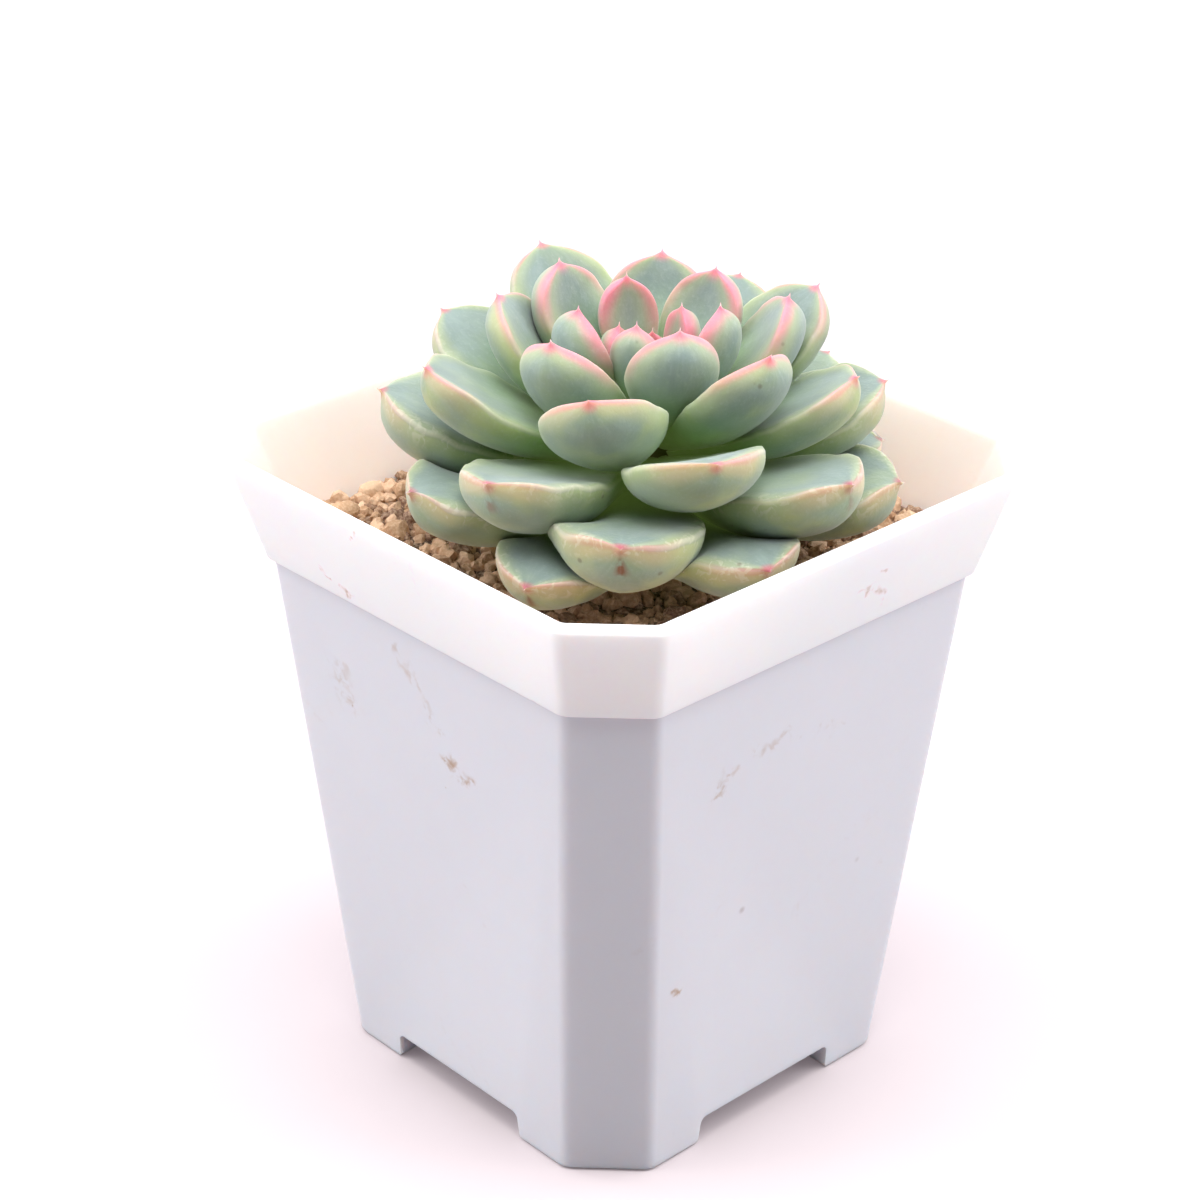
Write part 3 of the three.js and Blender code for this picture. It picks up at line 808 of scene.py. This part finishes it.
# ---------------------------------------------------------------------------------------------
# Leaves: fat, spoon-shaped and filled with water, set on the stem in a golden-angle spiral. Each
# has a dished upper face, a round back, a crisp margin and a small sharp point. A waxy bloom
# covers them; strong light reddens the points and margins, most of all in the young heart.
# ---------------------------------------------------------------------------------------------
PLANT_OFFSET = (2.7, 0.1)
PLANT_LEAN = math.radians(3.4)
STEM_RADIUS = 4.2
STEM_HEIGHT = 21.0
LEAF_COUNT = 44
FIRST_BEARING = 96.2
LEAF_TURN = -137.87
WIDEST_AT = 0.66
BASE_NARROWING = 0.36
BASE_THINNING = 0.5
DISH = 0.1
POINT_LENGTH = 1.3
POINT_ROWS = 7
POINT_PULL = 0.75
RIB_PULL = 0.36  # how far the rib keeps its foot's and its tip's slope
END_WIDTH_BEND = 0.8
END_DEPTH_BEND = 0.55
LAST_ROW_AT = 0.985
FACE_FILL = 0.18
BACK_FILL = 0.95
KEEL = 0.03
SWAY = 0.035
OLD_FROM = 35
OLD_RUFFLE = 1.1
TOUCH = 0.15
NEIGHBOURS = 26  # how many younger leaves can lie on a leaf
SINK_TRIES = 6
SINK_SHARE = 0.8
MOST_SINK = 5.0
EVEN_ROUNDS = 5
HOLLOW_KEPT = 0.97
HABIT = [  # rank, reach, height, foot, width, thickness, foot slope, tip slope
    (0, 0.7, 22.7, 20.0, 2.0, 1.2, 86, 92),
    (6, 2.0, 26.3, 18.8, 4.2, 2.0, 78, 92),
    (9, 5.3, 29.1, 18.0, 6.0, 2.8, 70, 90),
    (12, 9.2, 30.3, 17.2, 9.2, 3.6, 58, 86),
    (15, 13.0, 30.8, 16.2, 10.8, 4.1, 46, 78),
    (20, 19.0, 29.0, 14.6, 13.2, 4.1, 30, 55),
    (27, 27.0, 22.5, 12.2, 15.2, 4.8, 14, 28),
    (35, 29.5, 14.8, 9.0, 16.6, 6.4, 5, 18),
    (43, 29.6, 8.5, 6.2, 13.5, 5.2, 4, -2),
]
OUT_OF_LINE = {  # rank: bearing and roll in degrees, reach, height
    7: (0, 0, 0.5, -0.7), 8: (0, 0, -0.7, 0.8), 9: (3, 0, 0, 0.3), 10: (3, 0, 0, 0.8),
    11: (0, 0, 0, 1.4), 12: (4, 10, -0.7, -0.4), 13: (-6, 0, 0.4, 0.2), 14: (5, 0, -0.3, 1),
    16: (0, 0, 0.7, 0.3), 17: (0, 11, 0, -0.6), 18: (-3, 0, 0, -0.8),
    19: (2.5, 0, 0, 0.5), 20: (-2, 0, -1.6, -0.5), 21: (-7, 0, 0.8, 0.6), 22: (-5, 18, 0, 0),
    23: (6, 0, 0.7, 1.8), 25: (-4, 0, 1.2, 0.3), 27: (-1.5, 4, 0, 0.9),
    29: (-4, 0, -0.5, -0.7), 30: (0, 8, 0.7, -1.3), 32: (0, 0, 0.7, 0.8),
    33: (0, 0, 0.9, 0.8), 37: (-4, 0, 0, 0), 40: (1, 0, 0, 0.5), 43: (3, 0, 0, -0.5),
}
BRUISED = {35: 1.0, 30: 0.5, 43: 0.7, 40: 0.7, 32: 0.4, 39: 0.8, 42: 0.8}  # rank: how badly
ALONG_STEPS = 40
FACE_STEPS = 16
BACK_STEPS = 26
AROUND_STEPS = FACE_STEPS + BACK_STEPS


def habit_of(rank):
    """What a leaf of this rank is like, from its reach to its tip's slope."""
    for younger, older in zip(HABIT, HABIT[1:]):
        if rank <= older[0]:
            share = (rank - younger[0]) / (older[0] - younger[0])
            return [a + (b - a) * share for a, b in zip(younger, older)][1:]
    return HABIT[-1][1:]


def stem_radius(height):
    share = min(max(height / STEM_HEIGHT, 0), 1)
    return STEM_RADIUS * math.sqrt(1 - 0.97 * share * share)


def aimed(slope):
    """A step of one millimetre outward and upward at a slope in degrees."""
    return Vector((math.cos(math.radians(slope)), math.sin(math.radians(slope))))


def bezier(points, t):
    a, b, c, d = points
    spot = a * (1 - t) ** 3 + b * 3 * t * (1 - t) ** 2 + c * 3 * t * t * (1 - t) + d * t ** 3
    ahead = (b - a) * (1 - t) ** 2 + (c - b) * 2 * t * (1 - t) + (d - c) * t * t
    return spot, ahead.normalized()


class Leaf:
    """One leaf: its grid of points in the plant's own frame, and what its colours need to know."""

    def __init__(self, rank):
        self.rank = rank
        dice = random.Random(100 + rank)
        reach, height, foot, width, thick, foot_slope, tip_slope = habit_of(rank)
        turn, roll, further, higher = OUT_OF_LINE.get(rank, (0, 0, 0, 0))
        roll = aimed(roll)
        self.bearing = math.radians(FIRST_BEARING + LEAF_TURN * rank + turn)
        reach += further
        height += higher
        tip = Vector((reach, height)) - aimed(tip_slope) * POINT_LENGTH
        start = Vector((max(0.4, stem_radius(foot) + 0.1), foot))
        pull = RIB_PULL * (tip - start).length
        rib = (start, start + aimed(foot_slope) * pull, tip - aimed(tip_slope) * pull, tip)
        self.half = width / 2
        sway = dice.uniform(-SWAY, SWAY) * width
        ruffle = OLD_RUFFLE * min(1, rank / OLD_FROM) ** 2
        self.rows = []
        self.facts = []
        base_steps = ALONG_STEPS // 2
        for step in range(ALONG_STEPS):
            if step < base_steps:
                x = step / base_steps
                swell = x * x * (3 - 2 * x)
                along = WIDEST_AT * x
                half = width / 2 * (BASE_NARROWING + (1 - BASE_NARROWING) * swell)
                deep = thick * (BASE_THINNING + (1 - BASE_THINNING) * math.sin(x * math.pi / 2))
            else:
                share = (step - base_steps) / (ALONG_STEPS - 1 - base_steps)
                turned_by = share * math.pi / 2 * LAST_ROW_AT
                along = WIDEST_AT + (1 - WIDEST_AT) * math.sin(turned_by)
                half = width / 2 * math.cos(turned_by) ** END_WIDTH_BEND
                deep = thick * math.cos(turned_by) ** END_DEPTH_BEND
            spot, ahead = bezier(rib, along)
            lift = Vector((-ahead.y, ahead.x))
            row = []
            facts = []
            for index in range(AROUND_STEPS):
                on_face = index < FACE_STEPS
                if on_face:
                    angle = index / FACE_STEPS * math.pi
                else:
                    angle = math.pi * (1 + (index - FACE_STEPS) / BACK_STEPS)
                across = math.cos(angle)
                side = half * across + sway * along ** 2
                rise = math.sin(angle)
                waver = noise.noise(Vector((along * 9, math.copysign(2.5, across), rank)))
                offset = DISH * half * across ** 2 + ruffle * waver * along * abs(across) ** 3
                if on_face:
                    offset += FACE_FILL * deep * max(0.0, rise) ** 0.6
                else:
                    crisp = 1 - 0.1 * along
                    offset -= BACK_FILL * deep * max(0.0, -rise) ** crisp
                    offset -= KEEL * deep * max(0.0, 1 - abs(across) * 3) * along
                raised = offset * roll.x + side * roll.y
                side = side * roll.x - offset * roll.y
                row.append(Vector((spot.x + lift.x * raised, side, spot.y + lift.y * raised)))
                to_margin = math.hypot(half * (1 - abs(across)), 0 if on_face else deep * rise)
                facts.append((along, to_margin, 1.0 if on_face else 0.0, across))
            self.rows.append(row)
            self.facts.append(facts)
        self.lifts = []
        for row in self.rows:
            face = row[FACE_STEPS // 2]
            back = row[FACE_STEPS + BACK_STEPS // 2]
            self.lifts.append((face - back).normalized())
        end, ahead = bezier(rib, 1.0)
        self.point = Vector((end.x + ahead.x * POINT_LENGTH, sway, end.y + ahead.y * POINT_LENGTH))
        self.end = Vector((end.x, sway, end.y))

    def turned(self, spot):
        c, s = math.cos(self.bearing), math.sin(self.bearing)
        return Vector((spot.x * c - spot.y * s, spot.x * s + spot.y * c, spot.z))

    def sharpened(self):
        """Draws the last rows out into the small point."""
        for row in self.rows[-POINT_ROWS:]:
            for index, spot in enumerate(row):
                gap = (spot - self.end).length
                pull = math.exp(-(gap / (0.16 * self.half + 0.25)) ** 1.2)
                row[index] = spot.lerp(self.point, POINT_PULL * pull)

    def settle(self):
        self.sharpened()
        self.rows = [[self.turned(spot) for spot in row] for row in self.rows]
        self.lifts = [self.turned(lift) for lift in self.lifts]
        self.point = self.turned(self.point)

    def tree(self):
        verts = [spot for row in self.rows for spot in row] + [self.point, self.rows[0][0]]
        return BVHTree.FromPolygons(verts, self.polygons())

    def polygons(self):
        around = AROUND_STEPS
        faces = []
        for step in range(ALONG_STEPS - 1):
            for index in range(around):
                following = (index + 1) % around
                low = step * around
                high = low + around
                faces.append((low + index, low + following, high + following, high + index))
        last = (ALONG_STEPS - 1) * around
        tip = ALONG_STEPS * around
        for index in range(around):
            following = (index + 1) % around
            faces.append((last + index, last + following, tip))
            faces.append((following, index, tip + 1))
        return faces


leaves = [Leaf(rank) for rank in range(LEAF_COUNT)]
for leaf in leaves:
    leaf.settle()
leaf_trees = [leaf.tree() for leaf in leaves]


def sunk_to_clear(leaf, neighbours):
    """How far each point of a leaf has to sink so that the younger leaves above it have room."""
    sunk = [[0.0] * len(row) for row in leaf.rows]
    for neighbour in neighbours:
        tree = leaf_trees[neighbour]
        spots = [spot for row in leaves[neighbour].rows for spot in row]
        low = [min(spot[axis] for spot in spots) - TOUCH for axis in range(3)]
        high = [max(spot[axis] for spot in spots) + TOUCH for axis in range(3)]
        for step, (row, lift) in enumerate(zip(leaf.rows, leaf.lifts)):
            for index, spot in enumerate(row):
                for _ in range(SINK_TRIES):
                    here = spot - lift * sunk[step][index]
                    if any(here[axis] < low[axis] or here[axis] > high[axis] for axis in range(3)):
                        break
                    near, normal, _, _ = tree.find_nearest(here)
                    depth = TOUCH - (here - near).dot(normal)
                    if depth <= 0.01 or depth > MOST_SINK:
                        break
                    sunk[step][index] += depth * SINK_SHARE
    return sunk


def evened(sunk):
    """Spreads the hollows out, so that a leaf bends smoothly round what presses on it."""
    around = len(sunk[0])
    for _ in range(EVEN_ROUNDS):
        spread = []
        for step, row in enumerate(sunk):
            below = sunk[max(step - 1, 0)]
            above = sunk[min(step + 1, len(sunk) - 1)]
            spread.append([
                max(
                    row[i] * HOLLOW_KEPT,
                    (row[i - 1] + row[(i + 1) % around] + below[i] + above[i] + row[i]) / 5,
                )
                for i in range(around)
            ])
        sunk = spread
    return sunk


for leaf in leaves:
    younger = range(max(0, leaf.rank - NEIGHBOURS), leaf.rank)
    sunk = evened(sunk_to_clear(leaf, younger))
    for row, lift, depths in zip(leaf.rows, leaf.lifts, sunk):
        row[:] = [spot - lift * depth for spot, depth in zip(row, depths)]
    leaf_trees[leaf.rank] = leaf.tree()

plant_place = Matrix.Translation(Vector((*PLANT_OFFSET, SOIL_LEVEL)))
plant_place = Matrix.Scale(MM, 4) @ plant_place @ Matrix.Rotation(PLANT_LEAN, 4, "Y")


def leaf_mesh(leaf):
    """A leaf's closed mesh, with what its skin has to know about every point of it."""
    points = [spot for row in leaf.rows for spot in row]
    foot = sum(leaf.rows[0], Vector()) / AROUND_STEPS
    points += [leaf.point, foot]
    mesh = bpy.data.meshes.new(f"leaf_{leaf.rank:02d}_body")
    mesh.from_pydata([plant_place @ spot for spot in points], [], leaf.polygons())
    facts = [fact for row in leaf.facts for fact in row] + [(1, 0, 0.5, 0), (0, 1, 0.5, 0)]
    along, margin, face, across = zip(*facts)
    badly = BRUISED.get(leaf.rank, 0)
    values = {
        "along": along,
        "margin": margin,
        "face": face,
        "tip_gap": [(spot - leaf.point).length for spot in points],
        "age": [leaf.rank / (LEAF_COUNT - 1)] * len(facts),
        "across": across,
        "bruise": [badly * (1 - f) * max(0, 1.4 - 4 * abs(a - 0.1)) for f, a in zip(face, across)],
    }
    for name, numbers in values.items():
        layer = mesh.attributes.new(name, "FLOAT", "POINT")
        layer.data.foreach_set("value", numbers)
    smooth(mesh)
    mesh.validate()
    return mesh


YOUNG_BACK = (0.19, 0.26, 0.232)
OLD_BACK = (0.26, 0.335, 0.19)
UPPER_FACE = (0.165, 0.228, 0.203)
SUN_PATCH = (0.4, 0.46, 0.17)
FOOT_GREEN = (0.24, 0.42, 0.11)
FOOT_GLOW = (0.05, 0.066, 0.017)
BLOOM = (0.26, 0.33, 0.32)
EDGE_YELLOW = (0.44, 0.47, 0.25)
YOUNG_PINK = (0.68, 0.2, 0.28)
OLD_PINK = (0.5, 0.17, 0.17)
# painted highlight along the thin leaf margin
PAINTED_EDGE_HIGHLIGHT = (0.84, 0.74, 0.68)
YOUNG_POINT = (0.72, 0.12, 0.22)
OLD_POINT = (0.36, 0.06, 0.1)
TAN_FLUSH = (0.52, 0.36, 0.22)
BRUISE_BROWN = (0.2, 0.075, 0.03)
CORK = (0.62, 0.6, 0.48)
LEAF_SPECK = (0.12, 0.09, 0.05)
LEAF_DUST = (0.8, 0.84, 0.8)
PALE_STREAK = (0.48, 0.56, 0.5)
DARK_STREAK = (0.13, 0.2, 0.12)


def leaf_skin():
    skin = Skin("waxy_leaf")
    along = skin.attribute("along")
    margin = skin.attribute("margin")
    face = skin.attribute("face")
    tip_gap = skin.attribute("tip_gap")
    age = skin.attribute("age")
    across = skin.attribute("across")
    grain = skin.grain(0.45 * MM, 7 * MM, 0.05)
    margin_soft = skin.math("ADD", margin, skin.math("SUBTRACT", skin.noise(5 * MM, 2.0), 0.5))
    # flesh: grey green in the heart and on the upper faces, yellower on the backs of old leaves
    back_color = skin.mix(skin.ramp(age, 0.3, 0.65), YOUNG_BACK, OLD_BACK)
    flesh = skin.mix(skin.ramp(face, 0.3, 0.7), back_color, UPPER_FACE)
    # sun-yellowed patches on the backs and a clear green towards the foot
    patch = skin.times(
        skin.ramp(skin.noise(6 * MM, 2.0), 0.45, 0.68),
        skin.ramp(along, 0.25, 0.6),
        skin.ramp(face, 0.7, 0.3, 0.25, 0.95),
        skin.ramp(age, 0.3, 0.6, 0.2, 1.0),
    )
    flesh = skin.mix(patch, flesh, SUN_PATCH)
    foot = skin.times(skin.ramp(along, 0.92, 0.3), skin.ramp(age, 0.2, 0.5, 0.4, 0.9))
    flesh = skin.mix(foot, flesh, FOOT_GREEN)
    # powdery bloom, rubbed off here and there
    bloom = skin.times(
        skin.ramp(margin_soft, 0.4, 3.0),
        skin.ramp(grain["Mottle"], 0.35, 0.65, 0.1, 0.55),
        skin.ramp(along, 0.2, 0.7),
    )
    flesh = skin.mix(bloom, flesh, BLOOM)
    # pink band along the margin towards the point, with a yellow line between it and the green
    band_width = skin.ramp(age, 0.15, 0.6, 2.3, 0.7)
    reach_back = skin.ramp(tip_gap, skin.ramp(age, 0.2, 0.8, 11.0, 9.0), 2.5)
    edge_pink = skin.ramp(margin_soft, band_width, 0.0)
    near_point = skin.ramp(tip_gap, skin.ramp(age, 0.2, 0.7, 2.6, 1.6), 0.3)
    pink = skin.math("MAXIMUM", skin.times(edge_pink, reach_back), near_point)
    pink = skin.times(pink, skin.ramp(age, 0.3, 0.8, 1.0, 0.75))
    yellow_edge = skin.ramp(margin_soft, skin.math("ADD", band_width, 2.0), skin.times(band_width, 0.6))
    yellow = skin.times(yellow_edge, skin.ramp(along, 0.35, 0.8), 0.45)
    flesh = skin.mix(yellow, flesh, EDGE_YELLOW)
    pink_color = skin.mix(skin.ramp(age, 0.35, 0.75), YOUNG_PINK, OLD_PINK)
    flesh = skin.mix(pink, flesh, pink_color)
    # painted highlight: the very edge is thin, and is lightened where it catches the light and lets it
    # through
    pale = skin.times(skin.ramp(margin, 0.35, 0.0), skin.ramp(age, 0.3, 0.7, 0.0, 0.25))
    flesh = skin.mix(pale, flesh, PAINTED_EDGE_HIGHLIGHT)
    # reddened point
    point_color = skin.mix(skin.ramp(age, 0.4, 0.8), YOUNG_POINT, OLD_POINT)
    flesh = skin.mix(skin.ramp(tip_gap, 1.7, 0.4, 0.0, 0.9), flesh, point_color)
    # a tan flush under the margin, round the point of the older leaves
    flush = skin.times(
        skin.ramp(margin_soft, 2.8, 0.6),
        skin.ramp(tip_gap, 9.0, 4.0),
        skin.ramp(age, 0.35, 0.65, 0.0, 0.55),
        skin.ramp(face, 0.7, 0.3),
    )
    flesh = skin.mix(flush, flesh, TAN_FLUSH)
    # bruises: brown blotches below the point of a few old leaves
    blotch = skin.times(
        skin.ramp(tip_gap, 1.2, 2.0),
        skin.ramp(tip_gap, 4.0, 2.8),
        skin.ramp(skin.noise(1.3 * MM, 4.0), 0.36, 0.5),
        skin.attribute("bruise"),
    )
    flesh = skin.mix(blotch, flesh, BRUISE_BROWN)
    # corky scuffs near the margins of old leaves
    scuff = skin.times(
        skin.ramp(skin.noise(1.4 * MM, 8.0, distortion=1.5), 0.53, 0.62),
        skin.ramp(margin_soft, 2.6, 0.3),
        skin.ramp(age, 0.5, 0.85, 0.0, 0.4),
    )
    flesh = skin.mix(scuff, flesh, CORK)
    # specks and a fine pale dust
    flesh = skin.mix(skin.times(grain["Specks"], 0.55), flesh, LEAF_SPECK)
    fine = skin.math("SUBTRACT", grain["Grain"], 0.5)
    flesh = skin.mix(skin.ramp(fine, 0.0, 0.25, 0.0, 0.06), flesh, LEAF_DUST)
    # faint lengthways streaks, where the flesh lies in bundles along the leaf
    lengthways = put(skin.nodes, "ShaderNodeCombineXYZ")
    for value, socket in zip((skin.times(along, 1.6), across, age), lengthways.inputs):
        feed(value, socket)
    streaks = skin.noise(0.16, 3.0, place=lengthways.outputs[0])
    flesh = skin.mix(skin.ramp(streaks, 0.46, 0.68, 0.0, 0.07), flesh, PALE_STREAK)
    flesh = skin.mix(skin.ramp(streaks, 0.52, 0.32, 0.0, 0.07), flesh, DARK_STREAK)
    # thick flesh lets some of the light above through to its shaded foot
    glow = skin.mix(skin.ramp(along, 0.7, 0.2), (0, 0, 0), FOOT_GLOW)
    skin.bump(skin.math("ADD", grain["Grain"], skin.times(grain["Mottle"], 2.0)), 0.06 * MM, 0.5)
    return skin.finish(
        flesh,
        skin.ramp(grain["Mottle"], 0.3, 0.7, 0.42, 0.6),
        Specular_IOR_Level=0.4,
        Sheen_Weight=0.3,
        Emission_Color=glow,
        Emission_Strength=0.5,
        Subsurface_Weight=0.5,
        Subsurface_Radius=(0.9, 1.0, 0.5),
        Subsurface_Scale=3.2 * MM,
    )


leaf_material = leaf_skin()
for leaf in leaves:
    blade = add_piece(f"rosette_leaf_{leaf.rank:02d}", leaf_mesh(leaf))
    blade.data.materials.append(leaf_material)
    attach(blade, "root")
    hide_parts(f"leaf_{leaf.rank:02d}")
